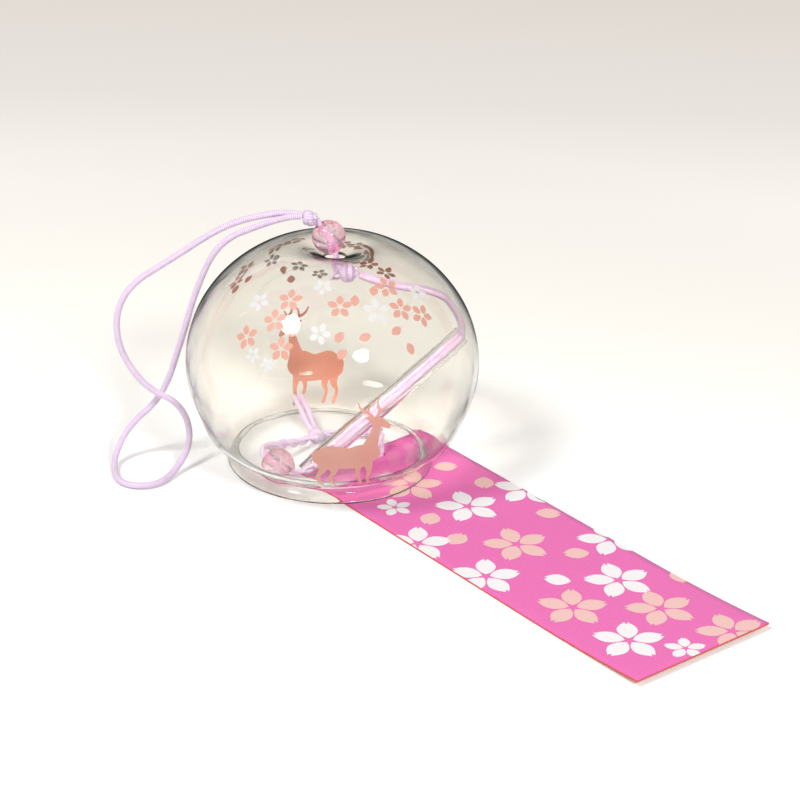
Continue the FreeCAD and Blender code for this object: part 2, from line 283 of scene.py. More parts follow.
def makeBeadMaterial(name, values):
    # Clear pink plastic, with white cracks inside it that scatter light
    material, tree = newMaterial(name)
    place = objectPlace(tree)
    cracks = addNode(tree, "TexVoronoi", {"Vector": place, "Scale": values["crackScale"]},
                     feature="DISTANCE_TO_EDGE")
    line = addNode(tree, "MapRange", {"Value": cracks.outputs["Distance"], "From Min": 0.0,
                                      "From Max": values["crackWidth"], "To Min": 1.0, "To Max": 0.0})
    bump = addNode(tree, "Bump", {"Height": cracks.outputs["Distance"], "Strength": values["crackStrength"],
                                  "Distance": values["crackDepth"] * millimetre})
    # Painted highlight: pale where it is looked straight through, and deeper pink towards its rim
    facing = addNode(tree, "LayerWeight", {"Blend": values["rimBlend"]})
    depth = addNode(tree, "Mix", {"Factor": facing.outputs["Facing"], "A": colour(values["clear"]),
                                  "B": colour(values["rim"])}, data_type="RGBA")
    clear = addNode(tree, "BsdfPrincipled", {
        "Base Color": depth.outputs["Result"], "Roughness": values["roughness"], "IOR": values["ior"],
        "Transmission Weight": values["transmission"], "Normal": bump.outputs["Normal"]})
    cracksAndHighlight = addNode(tree, "Mix", {"Factor": facing.outputs["Facing"], "A": colour(values["crack"]),
                                  "B": colour(values["rim"])}, data_type="RGBA")
    lit = addNode(tree, "BsdfDiffuse", {"Color": cracksAndHighlight.outputs["Result"]})
    glow = addNode(tree, "BsdfTranslucent", {"Color": cracksAndHighlight.outputs["Result"]})
    white = addNode(tree, "MixShader", {0: values["glowShare"], 1: lit.outputs[0], 2: glow.outputs[0]})
    # Painted highlight: milky white, most of it in the middle and little at the rim, on top of the white
    # cracks
    middleHighlight = addNode(tree, "MapRange", {"Value": facing.outputs["Facing"], "From Max": values["highlightReach"],
                                      "To Min": values["middleHighlight"], "To Max": values["rimHighlight"]})
    share = addNode(tree, "Math", {0: line.outputs[0], 1: values["crackShare"], 2: middleHighlight.outputs[0]},
                    operation="MULTIPLY_ADD")
    mixed = addNode(tree, "MixShader", {0: share.outputs[0], 1: clear.outputs[0], 2: white.outputs[0]})
    path = addNode(tree, "LightPath")
    passing = addNode(tree, "BsdfTransparent", {"Color": colour(values["shade"])})
    finishMaterial(tree, addNode(tree, "MixShader", {
        0: path.outputs["Is Shadow Ray"], 1: mixed.outputs[0], 2: passing.outputs[0]}))
    return material


# Clear walls, with painted shade darkest along the upper part of their outline
glassLook = {"waveDetail": 1.0, "rimBlend": 0.5, "paintedUpperFrom": 0.1, "paintedUpperTo": 0.5}
# Soda-lime glass, blown by mouth: a colourless wall with waves of about 11 mm, with a painted grey-green
# shade near its upper outline and a painted near black line along it
blownGlass = makeGlass("soda_lime_glass_mouth_blown", {
    **glassLook, "tint": "#FBFAF6", "roughness": 0.0, "ior": 1.5, "waveScale": 0.09, "waveStrength": 0.25,
    "waveDepth": 0.8, "edgeBlend": 0.35, "clearShade": "#FBFAF8", "edgeShade": "#8E8C88",
    "paintedRimFrom": 0.5, "paintedRimTo": 0.88, "paintedRimShade": "#20261F", "paintedLineFrom": 0.74, "paintedLineTo": 0.92})
# Acrylic, extruded: clear and even, with painted grey shade lines along both sides of the tube
tubeGlass = makeGlass("clear_acrylic_extruded", {
    **glassLook, "tint": "#FCFAFB", "roughness": 0.02, "ior": 1.49, "waveScale": 0.4, "waveStrength": 0.1,
    "waveDepth": 0.1, "edgeBlend": 0.4, "clearShade": "#F6F2F3", "edgeShade": "#A09A9C",
    "paintedRimFrom": 0.8, "paintedRimTo": 0.97, "paintedRimShade": "#6A6668", "paintedLineFrom": 0.86, "paintedLineTo": 0.98})

# Enamel ink, screen-printed and fired: a flat satin cover, cloudy over about 0.6 mm
inkLook = {
    "coverScale": 1.6, "coverDetail": 4.0, "coverStrength": 0.3, "coverDepth": 0.02, "roughness": 0.42,
    "translucent": 0.2,
}
# Coral, with a browner painted shade where it is seen through the glass from behind
coralInk = makeInk("enamel_ink_screen_printed_coral", {
    **inkLook, "thin": "#F9C3B3", "thick": "#F0AA96", "back": "#EDA18D"})
# White, with a grey painted shade where it is seen from behind
whiteInk = makeInk("enamel_ink_screen_printed_white", {
    **inkLook, "thin": "#F4F1EE", "thick": "#FFFFFF", "back": "#C9C2BC"})

# Crepe paper. Its ribs stand 0.95 mm apart, coarser than the real ones so that they show, and its fibres
# are a third of a millimetre across
paperLook = {
    "ribAngle": 82, "ribScale": 0.33, "ribDistortion": 1.2, "ribDetail": 2.0, "ribDetailScale": 1.5,
    "fibreScale": 3.0, "fibreDetail": 5.0, "napStrength": 0.35, "napDepth": 0.04, "sheenRoughness": 0.5,
    "specular": 0.25,
}
# Dyed through: hot pink, with fine ribs across the strip whose shade is partly painted, and almost no shine
pinkPaper = makePaper("paper_crepe_dyed_pink", {
    **paperLook, "dark": "#EE69B6", "light": "#F983C6", "ribPaintedShade": 0.2, "ribStrength": 0.6, "ribDepth": 0.08,
    "roughness": 0.78, "sheen": 0.12})
# Cut by a blade: its layers, 0.22 mm apart, show as a thin orange line
edgePaper = makePaper("paper_cut_edge_orange", {
    **paperLook, "dark": "#D9503C", "light": "#EE7460", "ribAngle": 90, "ribScale": 1.4, "ribDistortion": 0.6,
    "ribPaintedShade": 0.1, "ribStrength": 0.3, "ribDepth": 0.03, "fibreScale": 4.0, "roughness": 0.8, "sheen": 0.05})
# Left plain behind: a dull peach that tints the table under the raised end
peachPaper = makePaper("paper_backing_peach", {
    **paperLook, "dark": "#F6B9A9", "light": "#FAD3C6", "ribPaintedShade": 0.1, "ribStrength": 0.3, "ribDepth": 0.04,
    "roughness": 0.82, "sheen": 0.05})
# Printed in matte ink: it half fills the ribs, so they show more weakly through the colour
peachPrint = makePaper("paper_print_matte_peach", {
    **paperLook, "dark": "#F6C3BC", "light": "#FBD2CD", "ribPaintedShade": 0.1, "ribStrength": 0.35, "ribDepth": 0.05,
    "roughness": 0.75, "sheen": 0.1})
whitePrint = makePaper("paper_print_matte_white", {
    **paperLook, "dark": "#FBF1F5", "light": "#FFFFFF", "ribPaintedShade": 0.06, "ribStrength": 0.35,
    "ribDepth": 0.05, "roughness": 0.75, "sheen": 0.1})

# Rayon, braided from fine strands: a silky cord, its strands crossing every half millimetre
cordLook = {
    "pitch": 0.5, "slant": 0.35, "stripeFrom": 0.1, "stripeTo": 0.9, "wornScale": 0.6, "wornDetail": 3.0,
    "ridgeStrength": 0.5, "ridgeDepth": 0.05, "roughness": 0.5, "sheen": 0.35, "sheenRoughness": 0.35,
    "subsurface": 0.12, "subsurfaceDepth": 0.6,
}
# Pale lilac, with violet stripes where light falls between its strands
lilacCord = makeCordMaterial("rayon_cord_braided_lilac", {
    **cordLook, "light": "#FBE4F8", "stripe": "#A08AD8"})
# The same cord painted paler and pinker where it lies inside the glass: painted warm light from the glass
# round it
warmLitCord = makeCordMaterial("rayon_cord_braided_pink_painted_light", {
    **cordLook, "light": "#FAE0F6", "stripe": "#DDA6E0"})

# Acrylic, moulded and then crackled by cooling: painted pale as a highlight in its middle, hot pink towards
# its rim, with cracked cells of about 2 mm
pinkBead = makeBeadMaterial("acrylic_crackled_pink", {
    "clear": "#FFF0F6", "rim": "#F4509C", "crack": "#FFF8FB", "shade": "#F0A6C8", "crackScale": 0.5,
    "crackWidth": 0.07, "crackDepth": 0.07, "crackStrength": 0.5, "crackShare": 0.2, "middleHighlight": 0.18,
    "rimHighlight": 0.06, "highlightReach": 0.5, "glowShare": 0.2, "rimBlend": 0.3, "roughness": 0.05, "ior": 1.49,
    "transmission": 0.94})
print("materials made")


# Glass globe

globe = {
    "wall": 1.0, "bodyRadius": 40.0, "halfHeight": 35.9, "centreHeight": 28.7, "neck": (26.2, 2.0),
    "lip": (28.2, 0.0), "crest": (10.0, 62.0), "holeEdge": (2.8, 59.3), "lift": 1.442,
    "turns": (-40, -24, -8, 8, 24, 40, 54), "perSpan": 14, "segments": 224, "lipSteps": 7,
    "waviness": 0.05, "waves": ((3, 9.0, 1.0), (5, -6.0, 0.6)),  # each: how many round, pitch, share
    "lipRows": 4, "crownRows": 10, "poleRadius": 4.0,
}


def naturalSpline(values, places, at):
    # Natural cubic spline of one coordinate, by the usual three-band equations
    count = len(places)
    gaps = [b - a for a, b in zip(places, places[1:])]
    lower, bends = [0.0] * count, [0.0] * count
    for index in range(1, count - 1):
        slope = (values[index + 1] - values[index]) / gaps[index]
        slope -= (values[index] - values[index - 1]) / gaps[index - 1]
        pivot = 2 * (gaps[index - 1] + gaps[index]) - gaps[index - 1] * lower[index - 1]
        lower[index] = gaps[index] / pivot
        bends[index] = (6 * slope - gaps[index - 1] * bends[index - 1]) / pivot
    second = [0.0] * count
    for index in range(count - 2, 0, -1):
        second[index] = bends[index] - lower[index] * second[index + 1]
    found = []
    for place in at:
        span = min(max(bisect_right(places, place) - 1, 0), count - 2)
        gap = gaps[span]
        b = (place - places[span]) / gap
        a = 1 - b
        found.append(a * values[span] + b * values[span + 1]
                     + ((a ** 3 - a) * second[span] + (b ** 3 - b) * second[span + 1]) * gap * gap / 6)
    return found


def globeSection():
    knots = [globe["lip"], globe["neck"]]
    for turn in globe["turns"]:
        angle = math.radians(turn)
        knots.append((globe["bodyRadius"] * math.cos(angle),
                      globe["centreHeight"] + globe["halfHeight"] * math.sin(angle)))
    knots += [globe["crest"], globe["holeEdge"]]
    places = [0.0]
    for a, b in zip(knots, knots[1:]):
        places.append(places[-1] + math.dist(a, b))
    at = []
    for a, b in zip(places, places[1:]):
        at += [a + (b - a) * step / globe["perSpan"] for step in range(globe["perSpan"])]
    at.append(places[-1])
    radii = naturalSpline([knot[0] for knot in knots], places, at)
    heights = naturalSpline([knot[1] for knot in knots], places, at)
    return [Vector((r, z + globe["lift"])) for r, z in zip(radii, heights)]


def sideways(line, index):
    # The inward normal of a section line
    along = stepAt(line, index).normalized()
    return Vector((-along.y, along.x))


outerLine = globeSection()
innerLine = [point + sideways(outerLine, index) * globe["wall"] for index, point in enumerate(outerLine)]


def buildGlobe():
    middle = (outerLine[0] + innerLine[0]) / 2
    arm = outerLine[0] - middle
    lipRound = []
    for step in range(1, globe["lipSteps"]):
        angle = math.pi * step / globe["lipSteps"]
        lipRound.append(middle + Matrix.Rotation(angle, 2) @ arm)
    if lipRound[len(lipRound) // 2].y > middle.y:
        lipRound = [middle * 2 - point for point in reversed(lipRound)]
    profile = list(outerLine) + list(reversed(innerLine)) + list(reversed(lipRound))
    outerCount = len(outerLine)
    innerEnd = outerCount + len(innerLine)

    def ripple(index, angle, height):
        # The blown wall is a little thicker and thinner round its inside, but not at its crown and lip
        if outerCount + globe["lipRows"] < index < innerEnd - globe["crownRows"]:
            return globe["waviness"] * sum(size * math.sin(count * angle + height / pitch)
                                           for count, pitch, size in globe["waves"])
        return 0

    points, faces = lathe([tuple(point) for point in profile], globe["segments"], ripple=ripple)
    piece = addMesh("glass_globe_blown", points, faces, [blownGlass], "globe")
    standFor("glass_globe")


buildGlobe()

# Distances along the meridian, counted from the widest ring upwards
meridian = [0.0]
for before, after in zip(outerLine, outerLine[1:]):
    meridian.append(meridian[-1] + (after - before).length)
widest = meridian[max(range(len(outerLine)), key=lambda index: outerLine[index].x)]
meridian = [distance - widest for distance in meridian]


def onGlobe(degrees, rise, proud):
    span = min(max(bisect_right(meridian, rise) - 1, 0), len(outerLine) - 2)
    share = (rise - meridian[span]) / (meridian[span + 1] - meridian[span])
    spot = outerLine[span].lerp(outerLine[span + 1], share)
    outward = -sideways(outerLine, span).lerp(sideways(outerLine, span + 1), share).normalized()
    spot = spot + outward * proud
    return aroundAxis(spot.x, math.radians(degrees), spot.y), spot.x


def globePlace(degrees, rise, east, north, proud):
    # A place so many millimetres east and north of a print's own centre
    radius = max(onGlobe(degrees, rise + north, 0)[1], globe["poleRadius"])
    return onGlobe(degrees + math.degrees(east / radius), rise + north, proud)[0]


print("globe made")


# Prints: outlines in their own plane, laid on the globe or on the paper

petalCount = 5
petalTurn = 360 / petalCount
petalShape = {"sideShare": 0.93, "fullness": 0.75, "tipShare": 0.99, "tipWidthShare": 0.1, "steps": 9}


def petalOutline(length, width, notch):
    # Pointed at its base, widest at its middle, with a notch in its tip
    side = []
    for step in range(1, petalShape["steps"] + 1):
        along = petalShape["sideShare"] * step / petalShape["steps"]
        side.append((length * along, width / 2 * math.sin(math.pi * along) ** petalShape["fullness"]))
    tipAlong, tipWide = length * petalShape["tipShare"], width * petalShape["tipWidthShare"]
    tip = [(tipAlong, tipWide), (length * (1 - notch), 0.0), (tipAlong, -tipWide)]
    return [(0.0, 0.0)] + side + tip + [(x, -y) for x, y in reversed(side)]


def turned(outline, degrees):
    c, s = math.cos(math.radians(degrees)), math.sin(math.radians(degrees))
    return [(x * c - y * s, x * s + y * c) for x, y in outline]


def fillOutline(shape, outline, place, rings=3):
    # Rings of the outline drawn in towards its middle, so that the fill follows a curved surface
    points, faces = shape
    middle = (sum(x for x, y in outline) / len(outline), sum(y for x, y in outline) / len(outline))
    first = len(points)
    points.append(place(*middle))
    count = len(outline)
    for ring in range(1, rings + 1):
        share = ring / rings
        for x, y in outline:
            points.append(place(middle[0] + (x - middle[0]) * share, middle[1] + (y - middle[1]) * share))
    for index in range(count):
        after = (index + 1) % count
        faces.append((first, first + 1 + after, first + 1 + index))
        for ring in range(rings - 1):
            low = first + 1 + ring * count
            faces.append((low + index, low + after, low + count + after, low + count + index))


def blossom(radius, turn, petal):
    outlines = []
    for index in range(petalCount):
        outline = petalOutline(radius * petal["length"], radius * petal["width"], petal["notch"])
        outline = [(x + radius * petal["gap"], y) for x, y in outline]
        outlines.append(turned(outline, turn + petalTurn * index))
    return outlines


# A place is degrees round the globe and millimetres up its side from its widest ring. The white blossoms
# differ in size, so theirs have a radius too
globePrints = {
    "proud": 0.05, "radius": 3.4, "petal": {"length": 0.84, "width": 0.56, "notch": 0.1, "gap": 0.16},
    "loosePetal": (3.4, 2.3, 0.12),
    "coralBlossoms": [
        (-63.3, 31.5), (-34.4, 31.0), (-1.5, 35.4), (-0.6, 28.3), (9.9, 25.0), (-77.5, 18.8), (-66.7, 25.0),
        (-59.9, 18.1), (118.6, 14.3), (126.8, 18.8), (137.3, 25.2), (129.9, 23.0), (-166.9, 15.0),
        (-168.8, 20.3), (176.1, 26.2), (167.4, 28.5)],
    "coralPetals": [
        (-24.8, 34.4), (-13.8, 33.6), (-33.3, 24.0), (-31.8, 19.3), (-10.4, 22.3), (-3.9, 19.2),
        (-26.2, 22.0), (-170.5, 12.3), (-177.0, 15.1), (164.9, 12.4), (161.5, 11.6)],
    "whiteBlossoms": [
        (-45.5, 36.9, 2.6), (-14.5, 29.1, 3.9), (16.8, 30.8, 3.0), (-80.6, 28.6, 3.0), (-71.7, 14.9, 2.2),
        (-64.5, 13.4, 2.2), (-43.8, 23.3, 3.0), (174.8, 20.1, 2.8), (158.2, 15.8, 2.8), (148.7, 12.2, 2.4)],
}


def globePrinter(degrees, rise):
    return lambda x, y: globePlace(degrees, rise, x, y, globePrints["proud"])


def buildGlobePrints():
    coral, white = ([], []), ([], [])
    for degrees, rise in globePrints["coralBlossoms"]:
        for outline in blossom(globePrints["radius"], random.uniform(0, petalTurn), globePrints["petal"]):
            fillOutline(coral, outline, globePrinter(degrees, rise))
    for degrees, rise in globePrints["coralPetals"]:
        outline = turned(petalOutline(*globePrints["loosePetal"]), random.uniform(0, 360))
        fillOutline(coral, outline, globePrinter(degrees, rise))
    for degrees, rise, radius in globePrints["whiteBlossoms"]:
        for outline in blossom(radius, random.uniform(0, petalTurn), globePrints["petal"]):
            fillOutline(white, outline, globePrinter(degrees, rise))
    addMesh("coral_blossom_prints", *coral, [coralInk], "globe", solid=False)
    addMesh("white_blossom_prints", *white, [whiteInk], "globe", solid=False)


buildGlobePrints()

# A stag in profile, drawn as tapered strokes: each point is (east, north, width)
stag = {
    "proud": 0.05, "step": 0.7, "lanes": 4, "cap": (0.45, 0.8, 0.98),
    "places": [(-43.0, 2.0, 0.9, 1.1), (138.6, -3.8, 0.86, 1.2)],  # degrees, rise, shares of width and height
    "strokes": [
        [(0.8, -11.9, 5.0), (4.0, -11.7, 7.4), (9.0, -12.2, 6.9), (13.0, -11.6, 7.6), (16.0, -10.7, 5.4)],
        [(14.4, -10.8, 5.6), (16.0, -7.4, 4.0), (17.0, -4.4, 2.8), (17.6, -2.4, 2.4)],
        [(16.4, -1.6, 2.0), (18.4, -2.0, 2.3), (21.0, -3.4, 1.2)],
        [(16.8, -1.4, 1.0), (15.0, -0.8, 1.0), (14.0, -0.6, 0.4)],
        [(14.8, -13.6, 3.0), (15.2, -17.2, 1.5), (14.6, -19.8, 1.0), (15.0, -21.8, 1.2)],
        [(12.4, -14.0, 2.6), (11.6, -17.2, 1.3), (12.3, -20.0, 1.0), (12.3, -21.6, 1.2)],
        [(1.8, -13.2, 4.4), (1.5, -16.2, 2.3), (0.2, -18.4, 1.2), (1.0, -21.8, 1.2)],
        [(4.2, -13.8, 3.6), (4.8, -16.8, 1.9), (3.8, -18.8, 1.1), (4.6, -21.6, 1.2)],
        [(0.2, -10.4, 1.8), (-0.5, -11.6, 1.3), (-0.6, -12.6, 0.5)],
        [(16.7, -1.0, 0.9), (15.0, 0.4, 0.8), (12.9, 1.3, 0.7), (11.7, 2.9, 0.5)],
        [(14.8, 0.6, 0.7), (14.9, 1.9, 0.6), (15.6, 2.9, 0.4)],
        [(17.4, -1.0, 0.9), (18.1, 0.9, 0.8), (17.4, 2.5, 0.7), (17.7, 4.2, 0.5)],
        [(18.0, 1.0, 0.7), (19.3, 1.2, 0.6), (20.1, 2.3, 0.4)],
    ],
}


def smoothLine(points, step):
    # Points along a Catmull-Rom line, with their widths
    line = []
    padded = [points[0]] + list(points) + [points[-1]]
    for a, b, c, d in zip(padded, padded[1:], padded[2:], padded[3:]):
        count = max(2, math.ceil(math.dist(b[:2], c[:2]) / step))
        for index in range(count):
            t = index / count
            line.append(tuple(0.5 * (2 * q + (r - p) * t + (2 * p - 5 * q + 4 * r - s) * t * t
                                     + (3 * q - p - 3 * r + s) * t ** 3) for p, q, r, s in zip(a, b, c, d)))
    line.append(points[-1])
    return line


def strokeRows(points):
    line = [Vector(point) for point in smoothLine(points, stag["step"])]
    rows = []
    for index, spot in enumerate(line):
        along = stepAt(line, index).xy.normalized()
        rows.append((spot.xy, Vector((-along.y, along.x)), spot.z / 2, along))

    def roundedEnd(row, sign, share):
        spot, across, half, along = row
        return (spot + along * (sign * half * math.sqrt(1 - share ** 2)), across, half * share, along)

    return ([roundedEnd(rows[0], -1, share) for share in stag["cap"]] + rows
            + [roundedEnd(rows[-1], 1, share) for share in reversed(stag["cap"])])


def buildStags():
    points, faces = [], []
    lanes = stag["lanes"]
    for degrees, rise, wide, tall in stag["places"]:
        for stroke in stag["strokes"]:
            rows = strokeRows(stroke)
            first = len(points)
            for spot, across, half, along in rows:
                for lane in range(lanes + 1):
                    side = spot + across * (half * (2 * lane / lanes - 1))
                    points.append(globePlace(degrees, rise, side.x * wide, side.y * tall, stag["proud"]))
            for row in range(len(rows) - 1):
                for lane in range(lanes):
                    low = first + row * (lanes + 1) + lane
                    faces.append((low, low + lanes + 1, low + lanes + 2, low + 1))
    addMesh("coral_stag_prints", points, faces, [coralInk], "globe", solid=False)


buildStags()
print("prints made")


# Paper strip with its far end a little lifted. A blossom is (x, y, one of two turns, share of full size)

strip = {
    "length": 133.0, "width": 45.0, "thick": 0.45, "innerEnd": 2.0, "side": 9.3, "step": 1.9,
    "hole": (6.4, 12.6), "holeRadius": 1.25, "holeCore": 0.01, "holeCut": (-2, 3), "holeSegments": 32,
    "curlFrom": 96.0, "curlRise": 1.4, "peachLift": 0.03, "whiteLift": 0.045, "inset": 0.05, "rings": 4,
    "bigRadius": 9.2, "petal": {"length": 0.88, "width": 0.56, "notch": 0.14, "gap": 0.11},
    "turnA": 230.3, "turnB": 140.3,
    "white": [(44.4, 12.7, "A", 1), (52.6, -11.4, "B", 1), (75.9, -8.2, "B", 1), (96.9, 18.0, "A", 1),
              (120.0, -1.1, "B", 1), (80.0, 31.4, "A", 1), (45.9, 32.2, "B", 1), (33.6, -3.8, "A", 0.55),
              (131.1, 6.7, "B", 0.58)],
    "peach": [(26.0, 7.8, "B", 1), (67.8, 9.4, "A", 1), (100.0, -0.8, "B", 1), (113.4, 16.4, "A", 1),
              (132.2, 21.7, "A", 1)],
    "loosePetal": (7.0, 5.4, 0.16), "whitePetals": [(87.3, 5.2)],
    "peachPetals": [(22.8, 23.4), (36.6, 25.1), (44.2, -0.4), (56.5, -1.1), (60.0, 28.1), (80.1, 18.5),
                    (104.1, 32.5)],
}
stripBox = (strip["innerEnd"], strip["innerEnd"] + strip["length"],
            strip["side"] - strip["width"] / 2, strip["side"] + strip["width"] / 2)


def curl(x):
    share = max(0.0, (x - strip["curlFrom"]) / (stripBox[1] - strip["curlFrom"]))
    return strip["curlRise"] * share ** 2


def buildStrip():
    columns = math.ceil(strip["length"] / strip["step"])
    rows = math.ceil(strip["width"] / strip["step"])
    points, faces, kinds = [], [], []

    def spot(column, row, height):
        x = stripBox[0] + strip["length"] * column / columns
        y = stripBox[2] + strip["width"] * row / rows
        return (x, y, curl(x) + height)

    for height in (0.0, strip["thick"]):
        points += [spot(column, row, height) for column in range(columns + 1) for row in range(rows + 1)]
    layer = (columns + 1) * (rows + 1)
    for column in range(columns):
        for row in range(rows):
            low = column * (rows + 1) + row
            high = low + rows + 1
            faces += [(low, low + 1, high + 1, high),
                      (layer + low, layer + high, layer + high + 1, layer + low + 1)]
            kinds += [2, 0]
    rim = [column * (rows + 1) for column in range(columns + 1)]
    rim += [columns * (rows + 1) + row for row in range(1, rows + 1)]
    rim += [column * (rows + 1) + rows for column in range(columns - 1, -1, -1)]
    rim += [row for row in range(rows - 1, 0, -1)]
    for low, after in zip(rim, rim[1:] + rim[:1]):
        faces.append((low, after, layer + after, layer + low))
        kinds.append(1)
    piece = addMesh("paper_strip_crepe", points, faces, [pinkPaper, edgePaper, peachPaper], "paper_strip",
                    kinds)
    piece.data.polygons.foreach_set("use_smooth", [kind != 1 for kind in kinds])
    core, radius, (low, high) = strip["holeCore"], strip["holeRadius"], strip["holeCut"]
    section = [(core, low), (radius, low), (radius, high), (core, high)]
    cutter = addMesh("hole_cutter", *lathe(section, strip["holeSegments"], Vector((*strip["hole"], 0))),
                     [edgePaper], None)
    cut = piece.modifiers.new("hole", "BOOLEAN")
    cut.operation, cut.object, cut.solver = "DIFFERENCE", cutter, "EXACT"
    graph = bpy.context.evaluated_depsgraph_get()
    piece.data = bpy.data.meshes.new_from_object(piece.evaluated_get(graph))
    piece.modifiers.clear()
    bpy.data.objects.remove(cutter)
    standFor("paper_strip")


def clipOutline(outline):
    # The outline inside the strip, cut along each edge in turn
    inset = strip["inset"]
    edges = [(0, 1, stripBox[0] + inset), (0, -1, -stripBox[1] + inset),
             (1, 1, stripBox[2] + inset), (1, -1, -stripBox[3] + inset)]
    for axis, sign, limit in edges:
        kept = []
        for before, after in zip(outline, outline[1:] + outline[:1]):
            a, b = before[axis] * sign - limit, after[axis] * sign - limit
            if a >= 0:
                kept.append(before)
            if (a >= 0) != (b >= 0):
                share = a / (a - b)
                kept.append(tuple(p + (q - p) * share for p, q in zip(before, after)))
        outline = kept
        if len(outline) < 3:
            return []
    return outline


def onStrip(lift):
    # White was printed last, so it lies over the peach where they meet
    return lambda x, y: (x, y, strip["thick"] + curl(x) + lift)


def buildStripPrints():
    for name, flowers, petals, material, lift in (
            ("white_strip_blossoms", strip["white"], strip["whitePetals"], whitePrint, strip["whiteLift"]),
            ("peach_strip_blossoms", strip["peach"], strip["peachPetals"], peachPrint, strip["peachLift"])):
        shape = ([], [])
        for x, y, kind, size in flowers:
            for outline in blossom(strip["bigRadius"] * size, strip["turn" + kind], strip["petal"]):
                outline = clipOutline([(px + x, py + y) for px, py in outline])
                if outline:
                    fillOutline(shape, outline, onStrip(lift), strip["rings"])
        for x, y in petals:
            outline = turned(petalOutline(*strip["loosePetal"]), random.uniform(0, 360))
            middle = Vector((sum(p[0] for p in outline), sum(p[1] for p in outline))) / len(outline)
            outline = clipOutline([(px + x - middle.x, py + y - middle.y) for px, py in outline])
            fillOutline(shape, outline, onStrip(lift), strip["rings"])
        addMesh(name, *shape, [material], "paper_strip", solid=False)


buildStrip()
buildStripPrints()
print("strip made")


# Cords

cord = {
    "radius": 0.9, "pairRadius": 0.62, "pairSpread": 0.58, "pairPitch": 9.0, "pairStep": 0.3, "sides": 16,
    "step": 0.16, "resolution": 24, "ridge": 0.045, "ridgePitch": 1.0, "ridgeStarts": 2, "tipShare": 0.35,
}


def splineLine(control):
    # The centreline as Blender draws it: an order-3 NURBS that ends on its end points
    curve = bpy.data.curves.new("route", "CURVE")
    curve.dimensions = "3D"
    spline = curve.splines.new("NURBS")
    spline.points.add(len(control) - 1)
    for point, place in zip(spline.points, control):
        point.co = (*place, 1)
    spline.order_u = 3
    spline.use_endpoint_u = True
    spline.resolution_u = cord["resolution"]
    holder = bpy.data.objects.new("route", curve)
    mesh = bpy.data.meshes.new_from_object(holder)
    line = [vertex.co.copy() for vertex in mesh.vertices]
    bpy.data.objects.remove(holder)
    bpy.data.meshes.remove(mesh)
    return line


def evenly(line, step):
    # The same line with its points an equal distance apart
    reach = [0.0]
    for a, b in zip(line, line[1:]):
        reach.append(reach[-1] + (b - a).length)
    count = max(2, round(reach[-1] / step))
    even = []
    for index in range(count + 1):
        at = reach[-1] * index / count
        span = min(bisect_right(reach, at) - 1, len(line) - 2)
        gap = reach[span + 1] - reach[span]
        even.append(line[span].lerp(line[span + 1], (at - reach[span]) / gap if gap else 0))
    return even


def lengthOf(line):
    return sum((b - a).length for a, b in zip(line, line[1:]))


def frames(line):
    # Directions across the line, carried along it without twisting
    ways = [stepAt(line, index).normalized() for index in range(len(line))]
    across = ways[0].orthogonal().normalized()
    found = []
    for index, way in enumerate(ways):
        if index:
            across = ways[index - 1].rotation_difference(way) @ across
            across = (across - way * across.dot(way)).normalized()
        found.append((way, across, way.cross(across)))
    return found


def twisted(line, spread, pitch, phase):
    # One of two strands that turn about the line
    step = lengthOf(line) / (len(line) - 1)
    strand = []
    for index, (spot, (way, across, other)) in enumerate(zip(line, frames(line))):
        angle = math.tau * index * step / pitch + phase
        strand.append(spot + (across * math.cos(angle) + other * math.sin(angle)) * spread)
    return strand


def braidedTube(shape, line, radius):
    # A tube with the slanting ridges of its braid, and its length in millimetres as V
    points, faces, uvs = shape
    sides = cord["sides"]
    first = len(points)
    step = lengthOf(line) / (len(line) - 1)
    rings = frames(line)
    for index, (spot, (way, across, other)) in enumerate(zip(line, rings)):
        for side in range(sides):
            angle = math.tau * side / sides
            phase = math.tau * index * step / cord["ridgePitch"]
            turn = cord["ridgeStarts"] * angle
            weave = math.sin(turn + phase) * math.sin(turn - phase)
            grown = radius * (1 + cord["ridge"] * weave - cord["ridge"])
            points.append(spot + (across * math.cos(angle) + other * math.sin(angle)) * grown)
    for index in range(len(line) - 1):
        low, high = index * step, (index + 1) * step
        for side in range(sides):
            after = (side + 1) % sides
            row = first + index * sides
            faces.append((row + side, row + after, row + sides + after, row + sides + side))
            u, v = side / sides, (side + 1) / sides
            uvs.append(((u, low), (v, low), (v, high), (u, high)))
    # Rounded ends, drawn in to a point
    for end, ring, outward in ((0, first, -1), (len(line) - 1, first + (len(line) - 1) * sides, 1)):
        tip = len(points)
        points.append(line[end] + rings[end][0] * (outward * radius * cord["tipShare"]))
        for side in range(sides):
            after = (side + 1) % sides
            faces.append((ring + side, ring + after, tip))
            uvs.append(((0, 0), (0, 0), (0, 0)))


def buildCord(name, body, strands, material, node):
    # Each strand is a line and its radius
    points, faces, uvs = shape = ([], [], [])
    for line, radius in strands:
        braidedTube(shape, evenly(line, cord["step"]), radius)
    piece = addMesh(name, points, faces, [material], body, uvs=uvs)
    standFor(node)
    return piece


def buildPair(name, body, places, node):
    # Two thinner strands that turn about the route
    line = evenly(splineLine(places), cord["pairStep"])
    strands = [(twisted(line, cord["pairSpread"], cord["pairPitch"], phase), cord["pairRadius"])
               for phase in (0, math.pi)]
    return buildCord(name, body, strands, lilacCord, node)


